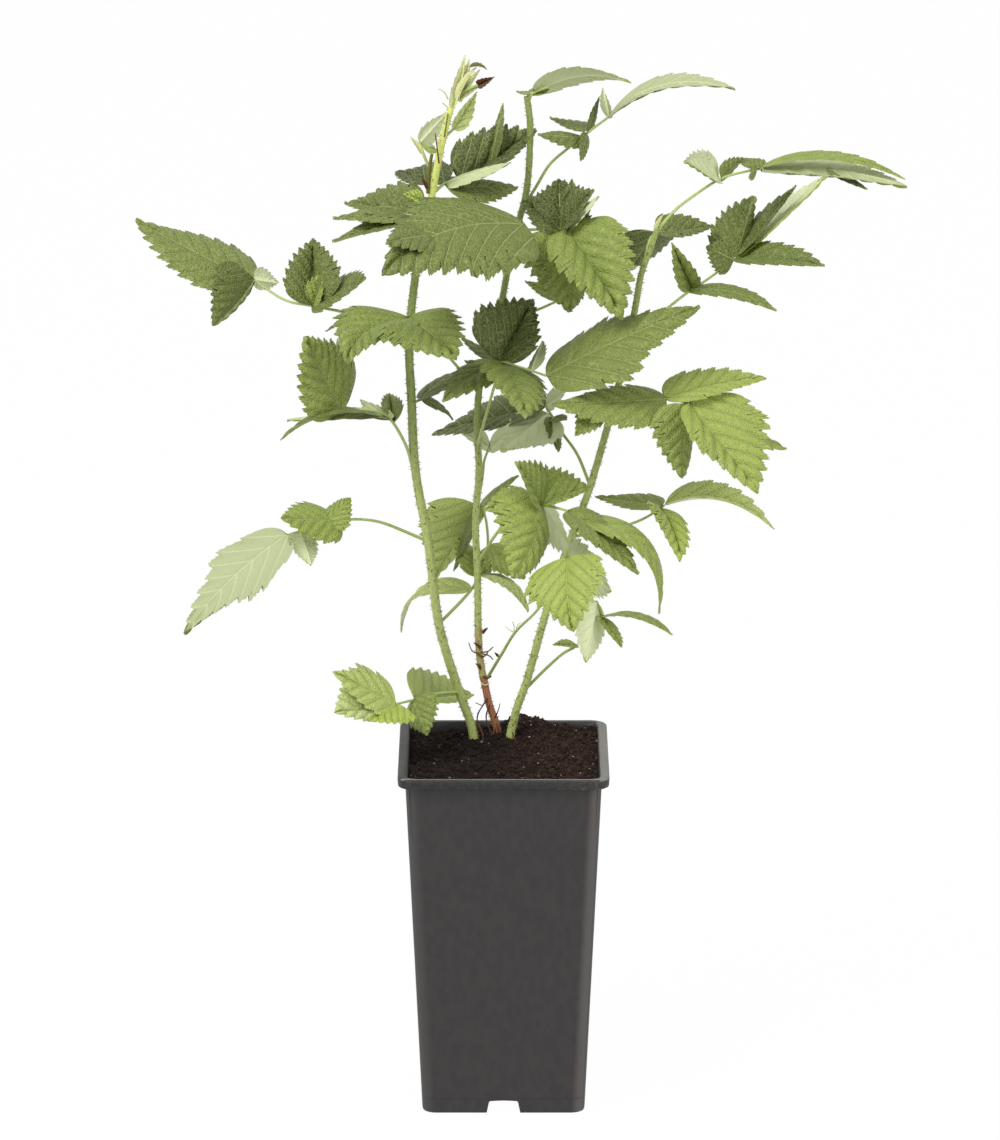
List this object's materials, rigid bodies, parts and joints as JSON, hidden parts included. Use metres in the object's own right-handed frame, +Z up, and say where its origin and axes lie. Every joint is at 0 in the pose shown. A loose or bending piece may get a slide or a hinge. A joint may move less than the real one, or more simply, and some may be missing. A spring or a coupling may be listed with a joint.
{
  "type": "potted raspberry plant",
  "caption": "Young raspberry plant with prickly canes and toothed compound leaves, growing in a tall square plastic nursery pot filled with compost.",
  "frame": {"origin": "on the ground, under the middle of the whole plant's width and depth; the pot's own middle is 7 mm to the left and 4 mm behind it", "axes": "+Z up along the canes, +X to the right as the plant is seen from its front, +Y away to the back"},
  "size_m": [0.4352, 0.1741, 0.6094],
  "materials": {
    "pot_plastic": "black recycled polypropylene, finely matt, paler along its edges",
    "compost": "moist dark peat compost with wood fibres and a few pale grains",
    "cane_bark": "green young bark, satin, with fine dark prickles, red brown at one foot",
    "leaf_green": "living leaf, quilted between its veins, greener above and grey green beneath"
  },
  "bodies": {
    "root": {"pot": "pot_plastic", "soil": "compost", "cane_left": "cane_bark", "cane_middle": "cane_bark", "cane_right": "cane_bark", "leaf_far_left": "leaf_green", "leaf_left_bow": "leaf_green", "leaf_left_middle": "leaf_green", "leaf_left_inner": "leaf_green", "leaf_centre_upper": "leaf_green", "leaf_centre": "leaf_green", "leaf_centre_pale": "leaf_green", "leaf_right_middle": "leaf_green", "leaf_centre_lower": "leaf_green", "leaf_right_low": "leaf_green", "leaf_front_yellow": "leaf_green", "leaf_low_right": "leaf_green", "leaf_bottom_left": "leaf_green", "leaf_left_low": "leaf_green", "leaf_centre_behind": "leaf_green", "leaf_upper_big": "leaf_green", "leaf_upper_left": "leaf_green", "leaf_crown_left": "leaf_green", "leaf_tip_pale": "leaf_green", "leaf_tip_right": "leaf_green", "leaf_tip_young": "leaf_green", "leaf_upper_middle": "leaf_green", "leaf_upper_inner": "leaf_green", "leaf_top_middle": "leaf_green", "leaf_top_arching": "leaf_green", "leaf_behind_right": "leaf_green", "leaf_right_upper": "leaf_green", "leaf_top_right": "leaf_green"}
  },
  "joints": []
}
